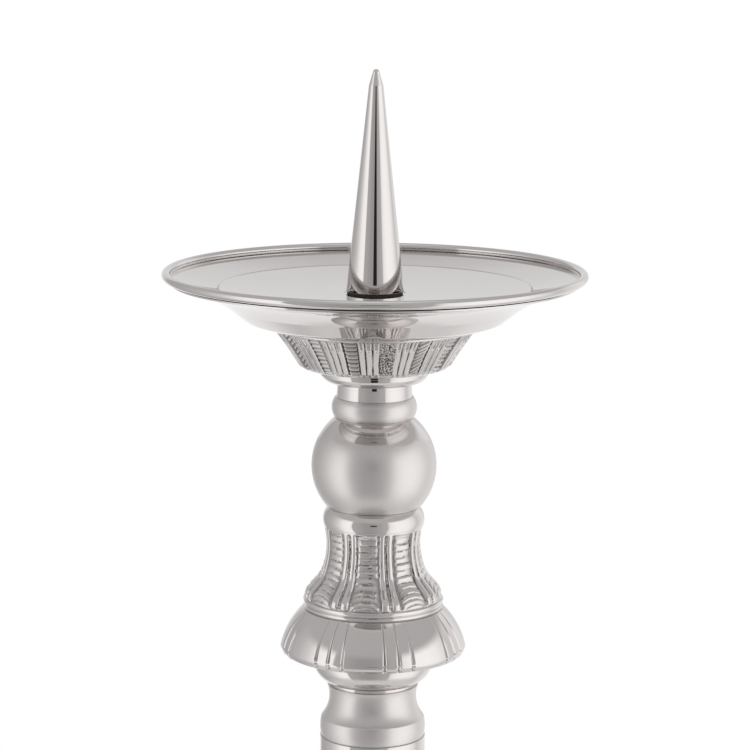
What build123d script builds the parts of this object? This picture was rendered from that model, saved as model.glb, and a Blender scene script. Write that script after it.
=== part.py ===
from build123d import *
import os

# Pricket candle stand: a tie rod clamps a stack of hollow turned pieces between
# the nut in the foot and the pricket spike, which screws onto the rod's top end.
# Millimetres, +Z up, origin on the floor under the middle of the foot.
# A radius or height is the outside size of its piece unless its name says more.

# Rod, fits and walls
rod_radius = 4.0
rod_clearance = 0.2
thread_clearance = 0.05
spigot_clearance = 0.05
plate_clearance = 0.5
cast_wall = 2.0
seat_thickness = 2.5
sheet = 1.3

# Foot
felt_thickness = 2.0
felt_inset = 1.0
plinth_radius = 72.0
plinth_band_height = 5.0
plinth_cove_height = 3.5
plinth_step_inset = 6.5
plinth_step_height = 2.5
plinth_top_inset = 7.0
plinth_wall = 5.5
plinth_ledge_thickness = 4.0
plinth_ledge_width = 14.0
dome_margin = 1.5
dome_height = 52.0
dome_neck_radius = 15.5
dome_groove_depth = 0.9
dome_groove_margin = 3.6
foot_collar_radius = 15.0
foot_collar_height = 4.0
foot_collar_rounding = 0.8
foot_knop_radius = 17.0
foot_knop_seat_radius = 12.5

# Fasteners in the foot
plate_thickness = 3.0
washer_radius = 8.5
washer_thickness = 1.6
nut_across_flats = 13.0
nut_height = 6.5
rod_tail = 0.8
tail_to_felt = 1.1

# Column and its two necks
column_radius = 15.8
column_wall = 1.5
column_length = 86.5
neck_height = 15.8
neck_bead_radius = 15.4
neck_bead_height = 5.8
neck_bead_rounding = 0.35
neck_waist_radius = 13.05
neck_waist_height = 11.6
neck_end_radius = 13.6
neck_bore_radius = 10.0
spigot_length = 5.0

# Polished bowl inside the bell, and the bell
bowl_height = 21.7
bowl_radius = 17.9
bowl_ring_radius = 12.9
bowl_ring_height = 0.9
bowl_belly_height = 7.2
bowl_belly_rounding = 1.3
bowl_shoulder_height = 12.0
bowl_top_radius = 12.0
bell_height = 13.6
bell_radius = 27.7
bell_top_radius = 21.0
bell_rounding = 1.3
bell_lip_height = 2.2
bell_lip_inset = 1.1
bell_lip_rounding = 0.25
bell_wall = 1.5
bell_crown_thickness = 2.0
bell_groove_depth = 0.7
bell_groove_margin = 1.4

# Chased vase
vase_height = 30.9
vase_foot_radius = 20.3
vase_band_radius = 20.9
vase_band_height = 2.6
vase_band_rounding = 0.3
vase_shoulder_radius = 20.3
vase_shoulder_height = 5.2
vase_flare_radius = 18.4
vase_flare_height = 7.7
vase_throat_radius = 16.1
vase_throat_height = 10.6
vase_neck_radius = 14.9
vase_neck_height = 14.0
vase_waist_radius = 14.15
vase_waist_height = 19.2
vase_ring_radius = 14.75
vase_ring_height = 5.9
vase_ring_rounding = 1.0
vase_top_radius = 13.3
vase_panel_depth = 0.7
vase_panel_foot_margin = 1.2
vase_panel_top_margin = 0.7
vase_rung_swell = 0.4

# Ball and the pieces above it
ball_radius = 18.55
ball_top_seat_radius = 11.7
ball_bottom_seat_radius = 13.9
bulb_end_radius = 11.6
bulb_height = 6.2
bulb_rounding = 1.0
collar_radius = 11.2
collar_height = 3.3
collar_taper = 0.2
cup_foot_radius = 16.3
cup_foot_height = 5.5
cup_foot_ring_radius = 11.0
cup_foot_ring_height = 1.3
cup_foot_fillet_height = 1.1
cup_foot_step = 0.5
cup_foot_rounding = 1.15

# Reeded cup
cup_height = 12.4
cup_top_radius = 30.4
cup_heel_radius = 22.9
cup_heel_height = 1.5
cup_heel_rounding = 0.38
cup_bottom_radius = 19.3
cup_hollow = 0.2
cup_boss_radius = 8.0
cup_panel_depth = 0.8
cup_reed_depth = 0.5
cup_reed_margin = 0.9
cup_rung_swell = 0.3

# Ornament round the axis: angles in degrees, counted from the front to the right
fold_count = 8
rib_angle = 16.0
vase_panel_angle = 28.0
vase_rib_groove_angle = 4.0
vase_rung_count = 13
groove_angle = 2.8
groove_pitch_angle = 9.0
groove_count = 3
cup_group_count = 16
cup_group_angle = -3.4
cup_panel_angle = 9.0
cup_reed_groove_angle = 0.9
cup_rung_count = 11
reed_count = 3

# Drip pan, washer and spike
pan_radius = 62.55
pan_depth = 9.8
bead_radius = 1.3
bead_height = 5.45
tray_seat_radius = 26.0
tray_floor_radius = 46.0
tray_floor_rise = 1.9
tray_floor_hollow = 0.1
tray_brim_hollow = 0.1
tray_rim_sheet = 0.8
tray_rim_width = 1.1
tray_rim_drop = 0.15
tray_recess_depth = 0.2
pan_base_radius = 30.8
pan_base_hollow = 0.45
pan_corner_width = 7.6
pan_corner_height = 2.2
pan_wall_width = 4.6
pan_wall_height = 3.7
pan_brim_width = 17.0
pan_brim_rise = 7.0
pan_brim_hollow = 1.1
pan_brim_sheet = 0.5
spacer_radius = 9.0
spike_radius = 8.5
spike_height = 64.9
spike_tip_radius = 2.1
spike_tip_height = 4.7
spike_point_radius = 1.0
spike_engagement = 12.0
spike_bore_spare = 2.0
spike_washer_thickness = 0.8
spike_washer_inset = 0.3
spike_gap = 0.5

# Sizes that follow from those above
rod_hole = rod_radius + rod_clearance
thread_hole = rod_radius + thread_clearance
plinth_step_radius = plinth_radius - plinth_step_inset
plinth_top_radius = plinth_step_radius - plinth_top_inset
plinth_inner = plinth_step_radius - plinth_wall
plinth_ledge = plinth_inner - plinth_ledge_width
nut_room = nut_height + rod_tail + tail_to_felt
plinth_height = plinth_ledge_thickness + plate_thickness + washer_thickness + nut_room
dome_radius = plinth_top_radius - dome_margin
column_bore = column_radius - column_wall
foot_knop_half = (foot_knop_radius**2 - foot_knop_seat_radius**2) ** 0.5
ball_below = (ball_radius**2 - ball_bottom_seat_radius**2) ** 0.5
ball_above = (ball_radius**2 - ball_top_seat_radius**2) ** 0.5
spacer_height = pan_depth - 2 * sheet
tray_recess_radius = spike_radius + spike_gap
bead_ring_radius = pan_radius - bead_radius

# Levels of the joints between the pieces, from the floor up
plinth_level = felt_thickness
dome_level = plinth_level + plinth_height
plate_level = dome_level - plinth_ledge_thickness - plate_thickness
washer_level = plate_level - washer_thickness
nut_level = washer_level - nut_height
foot_collar_level = dome_level + dome_height
foot_knop_level = foot_collar_level + foot_collar_height + foot_knop_half
column_level = foot_knop_level + foot_knop_half + neck_height
upper_neck_level = column_level + column_length
bowl_level = upper_neck_level + neck_height
vase_level = bowl_level + bowl_height + bell_crown_thickness
bell_level = vase_level - bell_height
ball_level = vase_level + vase_height + ball_below
bulb_level = ball_level + ball_above
collar_level = bulb_level + bulb_height
cup_foot_level = collar_level + collar_height
cup_level = cup_foot_level + cup_foot_height
pan_level = cup_level + cup_height
floor_level = pan_level + pan_depth
recess_level = floor_level - tray_recess_depth
spike_level = recess_level + spike_washer_thickness
rod_bottom = nut_level - rod_tail
rod_top = spike_level + spike_engagement


# A half section through the axis: x is the radius and y the height above the level
def section_at(level):
    return Plane(origin=(0, 0, level), x_dir=(1, 0, 0), z_dir=(0, -1, 0))


# Closes a half section from the top of its side, along the rod's hole or the axis, to the side's foot
def close_section(foot, top, inside=rod_hole):
    Polyline(top, (inside, top[1]), (inside, foot[1]), foot)


# Two equal arcs that leave the foot and reach the top upright; the lower one is returned
def ogee(foot, top):
    middle = ((foot[0] + top[0]) / 2, (foot[1] + top[1]) / 2)
    TangentArc(top, middle, tangent=(0, -1))
    return TangentArc(foot, middle, tangent=(0, 1))


# A disc with a hole for the rod
def disc(level, radius, thickness, hole=rod_hole):
    with BuildPart() as made:
        with BuildSketch(Plane.XY.offset(level)):
            Circle(radius)
            Circle(hole, mode=Mode.SUBTRACT)
        extrude(amount=thickness)
    return made


# A ring with a rounded or tapered edge and a hole for the rod
def turned_ring(level, foot_radius, top_radius, height, rounding):
    with BuildPart() as made:
        with BuildSketch(section_at(level)):
            foot = (foot_radius, 0)
            top = (top_radius, height)
            with BuildLine():
                if rounding:
                    SagittaArc(foot, top, -rounding)
                else:
                    Line(foot, top)
                close_section(foot, top)
            make_face()
        revolve(axis=Axis.Z)
    return made


# A hollow ball about a level, cut off flat below and above for its seats
def hollow_ball(level, radius, below, above):
    with BuildPart() as made:
        with BuildSketch(section_at(level)):
            for size, low, high, inside in (
                (radius, -below, above, rod_hole),
                (radius - cast_wall, seat_thickness - below, above - seat_thickness, 0),
            ):
                foot = ((size**2 - low**2) ** 0.5, low)
                top = ((size**2 - high**2) ** 0.5, high)
                with BuildLine():
                    ThreePointArc(foot, (size, 0), top)
                    close_section(foot, top, inside)
                make_face(mode=Mode.ADD if inside else Mode.SUBTRACT)
        revolve(axis=Axis.Z)
    return made


# The points of a chased groove along a side, from its foot up, between a margin at each end.
# Its depth changes evenly on the way.
def sunk(side, foot_margin, top_margin, foot_depth, top_depth, count=5):
    start = foot_margin / side.length
    end = 1 - top_margin / side.length
    points = []
    for index in range(count):
        along = index / (count - 1)
        place = start + (end - start) * along
        outward = (side % place).rotate(Axis.Z, -90)
        points.append(side @ place - outward * (foot_depth + (top_depth - foot_depth) * along))
    return points


# A sector that takes away what lies outside those points, over an angle about X.
# It can run straight down past the lowest point, through a lip, and leave a swelling rung between points.
def groove_cutter(level, points, angle, drop=0, swell=0):
    outside = max(point.X for point in points) + 2 * cast_wall
    lowest = points[0].Y - drop
    way_back = [points[-1], (outside, points[-1].Y), (outside, lowest)]
    if drop:
        way_back.append((points[0].X, lowest))
    with BuildPart() as made:
        with BuildSketch(section_at(level)):
            with BuildLine():
                if swell:
                    for foot, top in zip(points, points[1:]):
                        SagittaArc(foot, top, -swell)
                else:
                    Spline(*points)
                Polyline(*way_back, points[0])
            make_face()
        revolve(axis=Axis.Z, revolution_arc=angle)
    return made.part.rotate(Axis.Z, -angle / 2)


# Cuts copies of a groove round the axis, at an angle that is counted from the front
def cut_round(cutter, count, angle):
    with PolarLocations(0, count, start_angle=angle - 90):
        add(cutter, mode=Mode.SUBTRACT)


# The angles of evenly pitched grooves on both sides of a middle angle
def spread(middle, count, pitch):
    return [middle + (index - (count - 1) / 2) * pitch for index in range(count)]


# Felt pad under the foot
with BuildPart() as felt_pad:
    with BuildSketch():
        Circle(plinth_radius - felt_inset)
    extrude(amount=felt_thickness)

# Stepped plinth with an inner ledge that the clamp plate pulls on
with BuildPart() as plinth:
    with BuildSketch(section_at(plinth_level)):
        cove_top = plinth_band_height + plinth_cove_height
        step_top = cove_top + plinth_step_height
        ledge_under = plinth_height - plinth_ledge_thickness
        with BuildLine():
            Polyline((plinth_inner, 0), (plinth_radius, 0), (plinth_radius, plinth_band_height))
            EllipticalCenterArc(
                (plinth_radius, cove_top),
                plinth_radius - plinth_step_radius,
                plinth_cove_height,
                start_angle=180,
                arc_size=90,
            )
            Line((plinth_step_radius, cove_top), (plinth_step_radius, step_top))
            EllipticalCenterArc(
                (plinth_top_radius, step_top),
                plinth_step_radius - plinth_top_radius,
                plinth_height - step_top,
                arc_size=90,
            )
            Polyline(
                (plinth_top_radius, plinth_height),
                (plinth_ledge, plinth_height),
                (plinth_ledge, ledge_under),
                (plinth_inner, ledge_under),
                (plinth_inner, 0),
            )
        make_face()
    revolve(axis=Axis.Z)

# Clamp plate, washer and nut at the rod's lower end
clamp_plate = disc(plate_level, plinth_inner - plate_clearance, plate_thickness)
rod_washer = disc(washer_level, washer_radius, washer_thickness)

with BuildPart() as rod_nut:
    with BuildSketch(Plane.XY.offset(nut_level)):
        RegularPolygon(nut_across_flats / 2, 6, major_radius=False)
        Circle(thread_hole, mode=Mode.SUBTRACT)
    extrude(amount=nut_height)

with BuildPart() as tie_rod:
    with BuildSketch(Plane.XY.offset(rod_bottom)):
        Circle(rod_radius)
    extrude(amount=rod_top - rod_bottom)

# Domed foot with tapering grooves
with BuildPart() as foot_dome:
    with BuildSketch(section_at(dome_level)):
        foot = (dome_radius, 0)
        top = (dome_neck_radius, dome_height)
        with BuildLine():
            dome_side = ogee(foot, top)
            close_section(foot, top)
        make_face()
        inner_foot = (dome_radius - cast_wall, 0)
        inner_top = (dome_neck_radius - cast_wall, dome_height - seat_thickness)
        with BuildLine():
            ogee(inner_foot, inner_top)
            close_section(inner_foot, inner_top, 0)
        make_face(mode=Mode.SUBTRACT)
    revolve(axis=Axis.Z)
    dome_track = sunk(dome_side, dome_groove_margin, dome_groove_margin, dome_groove_depth, 0)
    dome_cutter = groove_cutter(dome_level, dome_track, groove_angle)
    for angle in spread(rib_angle, groove_count, groove_pitch_angle):
        cut_round(dome_cutter, fold_count, angle)

# Collar and satin knop on the foot
foot_collar = turned_ring(
    foot_collar_level, foot_collar_radius, foot_collar_radius, foot_collar_height, foot_collar_rounding
)
foot_knop = hollow_ball(foot_knop_level, foot_knop_radius, foot_knop_half, foot_knop_half)

# Plain column tube
with BuildPart() as column:
    with BuildSketch(Plane.XY.offset(column_level)):
        Circle(column_radius)
        Circle(column_bore, mode=Mode.SUBTRACT)
    extrude(amount=column_length)

# Satin spool neck: a spigot in the column, a bead, a waist, and a web on the rod
with BuildPart() as upper_neck:
    spigot_radius = column_bore - spigot_clearance
    web_under = neck_height - seat_thickness
    with BuildSketch(section_at(upper_neck_level)):
        with BuildLine():
            Polyline((spigot_radius, -spigot_length), (spigot_radius, 0), (neck_bead_radius, 0))
            SagittaArc((neck_bead_radius, 0), (neck_bead_radius, neck_bead_height), -neck_bead_rounding)
            ThreePointArc(
                (neck_bead_radius, neck_bead_height),
                (neck_waist_radius, neck_waist_height),
                (neck_end_radius, neck_height),
            )
            Polyline(
                (neck_end_radius, neck_height),
                (rod_hole, neck_height),
                (rod_hole, web_under),
                (neck_bore_radius, web_under),
                (neck_bore_radius, -spigot_length),
                (spigot_radius, -spigot_length),
            )
        make_face()
    revolve(axis=Axis.Z)

with BuildPart() as lower_neck:
    mirror(upper_neck.part, about=Plane.XY.offset(column_level + column_length / 2))

# Polished bowl inside the bell
with BuildPart() as under_bowl:
    with BuildSketch(section_at(bowl_level)):
        foot = (bowl_ring_radius, 0)
        ring_top = (bowl_ring_radius, bowl_ring_height)
        belly = (bowl_radius, bowl_belly_height)
        top = (bowl_top_radius, bowl_height)
        with BuildLine():
            Line(foot, ring_top)
            SagittaArc(ring_top, belly, -bowl_belly_rounding)
            Polyline(belly, (bowl_radius, bowl_shoulder_height), top)
            close_section(foot, top)
        make_face()
        inner_foot = (bowl_ring_radius - cast_wall, seat_thickness)
        inner_top = (bowl_top_radius - cast_wall, bowl_height - seat_thickness)
        with BuildLine():
            Polyline(
                inner_foot,
                (bowl_radius - cast_wall, bowl_belly_height),
                (bowl_radius - cast_wall, bowl_shoulder_height - cast_wall),
                inner_top,
            )
            close_section(inner_foot, inner_top, 0)
        make_face(mode=Mode.SUBTRACT)
    revolve(axis=Axis.Z)

# Bell skirt with groups of tapering grooves
with BuildPart() as bell_skirt:
    with BuildSketch(section_at(bell_level)):
        foot = (bell_radius - bell_lip_inset, 0)
        lip = (bell_radius, bell_lip_height)
        top = (bell_top_radius, bell_height)
        with BuildLine():
            SagittaArc(foot, lip, -bell_lip_rounding)
            bell_side = SagittaArc(lip, top, -bell_rounding)
            close_section(foot, top)
        make_face()
        inner_foot = (foot[0] - bell_wall, 0)
        inner_lip = (lip[0] - bell_wall, bell_lip_height)
        inner_top = (bell_top_radius - bell_wall, bell_height - bell_crown_thickness)
        with BuildLine():
            SagittaArc(inner_foot, inner_lip, -bell_lip_rounding)
            SagittaArc(inner_lip, inner_top, -bell_rounding)
            close_section(inner_foot, inner_top, 0)
        make_face(mode=Mode.SUBTRACT)
    revolve(axis=Axis.Z)
    bell_track = sunk(bell_side, 0, bell_groove_margin, bell_groove_depth, 0)
    bell_cutter = groove_cutter(bell_level, bell_track, groove_angle, 2 * bell_lip_height)
    for angle in spread(rib_angle, groove_count, groove_pitch_angle):
        cut_round(bell_cutter, fold_count, angle)

# Chased vase: ladder panels between double ribs
with BuildPart() as chased_vase:
    panel_wall = cast_wall + vase_panel_depth
    with BuildSketch(section_at(vase_level)):
        foot = (vase_foot_radius, 0)
        band_top = (vase_band_radius, vase_band_height)
        ring_foot = (vase_ring_radius, vase_height - vase_ring_height)
        top = (vase_top_radius, vase_height)
        with BuildLine():
            SagittaArc(foot, band_top, -vase_band_rounding)
            vase_side = Spline(
                band_top,
                (vase_shoulder_radius, vase_shoulder_height),
                (vase_flare_radius, vase_flare_height),
                (vase_throat_radius, vase_throat_height),
                (vase_neck_radius, vase_neck_height),
                (vase_waist_radius, vase_waist_height),
                ring_foot,
            )
            SagittaArc(ring_foot, top, -vase_ring_rounding)
            close_section(foot, top)
        make_face()
        inner_foot = (vase_flare_radius - panel_wall, seat_thickness)
        inner_top = (vase_waist_radius - panel_wall, vase_height - seat_thickness)
        with BuildLine():
            Polyline(
                inner_foot,
                (vase_throat_radius - panel_wall, vase_throat_height),
                (vase_neck_radius - panel_wall, vase_neck_height),
                (vase_waist_radius - panel_wall, vase_waist_height),
                inner_top,
            )
            close_section(inner_foot, inner_top, 0)
        make_face(mode=Mode.SUBTRACT)
    revolve(axis=Axis.Z)
    margins = (vase_panel_foot_margin, vase_panel_top_margin)
    depths = (vase_panel_depth, vase_panel_depth)
    rung_track = sunk(vase_side, *margins, *depths, vase_rung_count + 1)
    panel_cutter = groove_cutter(vase_level, rung_track, vase_panel_angle, 0, vase_rung_swell)
    rib_cutter = groove_cutter(vase_level, sunk(vase_side, *margins, *depths), vase_rib_groove_angle)
    cut_round(panel_cutter, fold_count, rib_angle + 180 / fold_count)
    cut_round(rib_cutter, fold_count, rib_angle)

# Satin ball, bulb and polished collar
ball_knop = hollow_ball(ball_level, ball_radius, ball_below, ball_above)
neck_bulb = turned_ring(bulb_level, bulb_end_radius, bulb_end_radius, bulb_height, bulb_rounding)
collar_band = turned_ring(collar_level, collar_radius, collar_radius - collar_taper, collar_height, 0)

# Stepped moulding under the cup
with BuildPart() as cup_foot:
    with BuildSketch(section_at(cup_foot_level)):
        ring_top = cup_foot_ring_height
        ovolo_top = cup_foot_height - cup_foot_fillet_height
        ovolo_radius = cup_foot_radius - cup_foot_step
        foot = (cup_foot_ring_radius, 0)
        step = (cup_foot_ring_radius + cup_foot_step, ring_top)
        top = (cup_foot_radius, cup_foot_height)
        with BuildLine():
            Polyline(foot, (cup_foot_ring_radius, ring_top), step)
            SagittaArc(step, (ovolo_radius, ovolo_top), -cup_foot_rounding)
            Polyline((ovolo_radius, ovolo_top), (cup_foot_radius, ovolo_top), top)
            close_section(foot, top)
        make_face()
    revolve(axis=Axis.Z)

# Reeded cup: groups of reeds between sunk panels, and a boss on the rod that backs the pan
with BuildPart() as reeded_cup:
    cup_wall = cast_wall + cup_panel_depth
    with BuildSketch(section_at(cup_level)):
        foot = (cup_bottom_radius, 0)
        heel = (cup_heel_radius, cup_heel_height)
        top = (cup_top_radius, cup_height)
        with BuildLine():
            SagittaArc(foot, heel, -cup_heel_rounding)
            cup_side = SagittaArc(heel, top, cup_hollow)
            close_section(foot, top)
        make_face()
        with BuildLine():
            Polyline(
                (cup_boss_radius, seat_thickness),
                (cup_heel_radius - cup_wall, seat_thickness),
                (cup_top_radius - cup_wall, cup_height),
                (cup_boss_radius, cup_height),
                close=True,
            )
        make_face(mode=Mode.SUBTRACT)
    revolve(axis=Axis.Z)
    group_pitch = 360 / cup_group_count
    reed_pitch = (group_pitch - cup_panel_angle) / reed_count
    rung_track = sunk(cup_side, 0, cup_reed_margin, cup_panel_depth, cup_panel_depth, cup_rung_count + 1)
    reed_track = sunk(cup_side, 0, cup_reed_margin, cup_reed_depth, cup_reed_depth)
    below = 2 * cup_heel_height
    panel_cutter = groove_cutter(cup_level, rung_track, cup_panel_angle, below, cup_rung_swell)
    reed_cutter = groove_cutter(cup_level, reed_track, cup_reed_groove_angle, below)
    cut_round(panel_cutter, cup_group_count, cup_group_angle + group_pitch / 2)
    for angle in spread(cup_group_angle, reed_count - 1, reed_pitch):
        cut_round(reed_cutter, cup_group_count, angle)

# Ogee bowl under the drip tray
with BuildPart() as pan_bowl:
    with BuildSketch(section_at(pan_level)):
        corner = (pan_base_radius + pan_corner_width, pan_corner_height)
        wall_top = (corner[0] + pan_wall_width, corner[1] + pan_wall_height)
        rim = (wall_top[0] + pan_brim_width, wall_top[1] + pan_brim_rise)
        rim_top = (rim[0], rim[1] + pan_brim_sheet)
        inner_corner = (corner[0] - sheet / 2, corner[1] + sheet)
        inner_wall_top = (wall_top[0] - pan_brim_sheet / 2, wall_top[1] + pan_brim_sheet)
        with BuildLine():
            Line((rod_hole, 0), (pan_base_radius, 0))
            SagittaArc((pan_base_radius, 0), corner, pan_base_hollow)
            Line(corner, wall_top)
            SagittaArc(wall_top, rim, pan_brim_hollow)
            Line(rim, rim_top)
            SagittaArc(rim_top, inner_wall_top, -pan_brim_hollow)
            Polyline(
                inner_wall_top,
                inner_corner,
                (pan_base_radius, sheet),
                (rod_hole, sheet),
                (rod_hole, 0),
            )
        make_face()
    revolve(axis=Axis.Z)

# Spacer between the bowl and the tray
pan_spacer = disc(pan_level + sheet, spacer_radius, spacer_height)

# Drip tray: flat candle seat, brim and rolled bead
with BuildPart() as drip_tray:
    with BuildSketch(section_at(floor_level)):
        brim_foot = (tray_floor_radius, tray_floor_rise)
        rim_foot = bead_height - bead_radius + (bead_radius - tray_rim_sheet) / 2
        rim = (bead_ring_radius, rim_foot + tray_rim_sheet)
        under_rim = (bead_ring_radius - tray_rim_width, bead_height - bead_radius - tray_rim_drop)
        under_foot = (tray_floor_radius, tray_floor_rise - sheet)
        with BuildLine():
            Polyline(
                (rod_hole, -tray_recess_depth),
                (tray_recess_radius, -tray_recess_depth),
                (tray_recess_radius, 0),
                (tray_seat_radius, 0),
            )
            SagittaArc((tray_seat_radius, 0), brim_foot, -tray_floor_hollow)
            SagittaArc(brim_foot, rim, -tray_brim_hollow)
            Polyline(rim, (bead_ring_radius, rim_foot), under_rim)
            SagittaArc(under_rim, under_foot, tray_brim_hollow)
            SagittaArc(under_foot, (tray_seat_radius, -sheet), tray_floor_hollow)
            Polyline((tray_seat_radius, -sheet), (rod_hole, -sheet), (rod_hole, -tray_recess_depth))
        make_face()
        with Locations((bead_ring_radius, bead_height)):
            Circle(bead_radius)
    revolve(axis=Axis.Z)

# Fibre washer and pricket spike
spike_washer = disc(recess_level, spike_radius - spike_washer_inset, spike_washer_thickness)

with BuildPart() as pricket_spike:
    with BuildSketch(section_at(spike_level)):
        bore_depth = spike_engagement + spike_bore_spare
        point_level = spike_height - spike_point_radius
        with BuildLine():
            Polyline(
                (spike_radius, 0),
                (spike_tip_radius, spike_height - spike_tip_height),
                (spike_point_radius, point_level),
            )
            CenterArc((0, point_level), spike_point_radius, 0, 90)
            Polyline(
                (0, spike_height),
                (0, bore_depth),
                (thread_hole, bore_depth),
                (thread_hole, 0),
                (spike_radius, 0),
            )
        make_face()
    revolve(axis=Axis.Z)

pieces = {
    "felt_pad": felt_pad,
    "plinth": plinth,
    "clamp_plate": clamp_plate,
    "rod_washer": rod_washer,
    "rod_nut": rod_nut,
    "tie_rod": tie_rod,
    "foot_dome": foot_dome,
    "foot_collar": foot_collar,
    "foot_knop": foot_knop,
    "lower_neck": lower_neck,
    "column": column,
    "upper_neck": upper_neck,
    "under_bowl": under_bowl,
    "bell_skirt": bell_skirt,
    "chased_vase": chased_vase,
    "ball_knop": ball_knop,
    "neck_bulb": neck_bulb,
    "collar_band": collar_band,
    "cup_foot": cup_foot,
    "reeded_cup": reeded_cup,
    "pan_bowl": pan_bowl,
    "pan_spacer": pan_spacer,
    "drip_tray": drip_tray,
    "spike_washer": spike_washer,
    "pricket_spike": pricket_spike,
}

os.makedirs("parts", exist_ok=True)
for name, piece in pieces.items():
    piece.part.label = name
    export_step(piece.part, f"parts/{name}.step")
print(f"{len(pieces)} pieces, spike tip {spike_level + spike_height:.1f} mm above the floor")
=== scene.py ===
import math

import bpy
import numpy as np
from mathutils import Matrix, Vector


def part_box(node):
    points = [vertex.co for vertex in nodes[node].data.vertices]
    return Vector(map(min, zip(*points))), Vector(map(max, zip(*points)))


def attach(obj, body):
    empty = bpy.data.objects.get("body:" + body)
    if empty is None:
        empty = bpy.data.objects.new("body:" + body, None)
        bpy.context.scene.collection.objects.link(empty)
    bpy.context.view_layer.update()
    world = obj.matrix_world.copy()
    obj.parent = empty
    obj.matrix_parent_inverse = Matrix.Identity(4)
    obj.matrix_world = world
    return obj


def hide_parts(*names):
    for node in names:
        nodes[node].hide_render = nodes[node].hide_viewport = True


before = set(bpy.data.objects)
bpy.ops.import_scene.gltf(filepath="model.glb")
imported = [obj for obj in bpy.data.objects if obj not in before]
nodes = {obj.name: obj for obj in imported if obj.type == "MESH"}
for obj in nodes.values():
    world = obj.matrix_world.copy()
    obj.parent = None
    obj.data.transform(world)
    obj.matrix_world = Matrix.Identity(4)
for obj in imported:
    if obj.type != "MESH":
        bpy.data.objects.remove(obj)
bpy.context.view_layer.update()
scene = bpy.context.scene
mm = 0.001
print("frame loaded with", len(nodes), "CAD nodes")


# One socket of a node tree. Arithmetic adds Math nodes, node() adds any other node.
class Wire:
    def __init__(self, tree, socket=None):
        self.tree = tree
        self.socket = socket

    def node(self, kind, settings=None, inputs=None, output=0):
        made = self.tree.nodes.new(kind)
        for name, value in (settings or {}).items():
            if name == "stops":
                fillRamp(made.color_ramp, value)
            else:
                setattr(made, name, value)
        for key, value in (inputs or {}).items():
            if isinstance(value, Wire):
                self.tree.links.new(value.socket, made.inputs[key])
            else:
                made.inputs[key].default_value = value
        return Wire(self.tree, made.outputs[output])

    def also(self, output):
        return Wire(self.tree, self.socket.node.outputs[output])

    def math(self, operation, *values):
        return self.node("ShaderNodeMath", {"operation": operation}, dict(enumerate((self, *values))))

    def swapped(self, operation, value):
        return self.node("ShaderNodeMath", {"operation": operation}, {0: value, 1: self})

    def __add__(self, other):
        return self.math("ADD", other)

    __radd__ = __add__

    def __mul__(self, other):
        return self.math("MULTIPLY", other)

    __rmul__ = __mul__

    def __sub__(self, other):
        return self.math("SUBTRACT", other)

    def __rsub__(self, other):
        return self.swapped("SUBTRACT", other)

    def __truediv__(self, other):
        return self.math("DIVIDE", other)

    def __rtruediv__(self, other):
        return self.swapped("DIVIDE", other)

    def __pow__(self, other):
        return self.math("POWER", other)

    def __mod__(self, other):
        return self.math("FLOORED_MODULO", other)

    def __gt__(self, other):
        return self.math("GREATER_THAN", other)

    def __lt__(self, other):
        return self.math("LESS_THAN", other)

    def __abs__(self):
        return self.math("ABSOLUTE")

    def smooth(self, low, high, start=0.0, end=1.0):
        ends = {"Value": self, "From Min": low, "From Max": high, "To Min": start, "To Max": end}
        return self.node("ShaderNodeMapRange", {"interpolation_type": "SMOOTHSTEP"}, ends)

    # this value where the factor is 0, the other where it is 1
    def blend(self, other, factor):
        return self + (other - self) * factor


def fillRamp(ramp, stops):
    while len(ramp.elements) < len(stops):
        ramp.elements.new(0.5)
    for element, (place, value) in zip(ramp.elements, stops):
        element.position = place
        element.color = value if len(value) == 4 else (*value, 1.0)


# Materials

def newMaterial(name):
    material = bpy.data.materials.new(name)
    material.use_nodes = True
    start = Wire(material.node_tree)
    return material, start, material.node_tree.nodes["Principled BSDF"]


def feed(start, shader, name, value):
    start.tree.links.new(value.socket, shader.inputs[name])


def mixColours(start, factor, first, second):
    return start.node(
        "ShaderNodeMix", {"data_type": "RGBA"}, {0: factor, 6: (*first, 1.0), 7: (*second, 1.0)}, 2
    )


# distance from the axis and height, for marks that run round a turned piece
def turnedPlace(start):
    place = start.node("ShaderNodeTexCoord", output="Object")
    parts = start.node("ShaderNodeSeparateXYZ", inputs={0: place}, output="X")
    across = parts.also("Y")
    radius = (parts * parts + across * across).math("SQRT")
    return place, radius, parts.also("Z")


silverFinish = {
    "bright": (0.677, 0.648, 0.637),
    "soft": (0.61, 0.582, 0.57),
    # near black for the chased hollows: partly oxide in the hollows, partly painted shade
    "oxideAndShade": (0.05, 0.046, 0.044),
    "polishedRoughness": 0.035,
    "satinRoughness": 0.35,
    "chasedRoughness": 0.06,
    "capRoughness": 0.07,
    "clouding": 0.02,
    "cloudScale": 55.0,
    "cloudSpan": (0.35, 0.8),
    "softShare": 0.35,
    # share of that dark in the deepest hollows, oxide and painted shade
    "sunkOxideAndShade": 0.8,
    "sunkRough": 0.12,
    "turning": 0.05,
    "turningPitch": 2600.0,
    "capStart": 6.6,
    "capEnd": 4.6,
}


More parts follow.
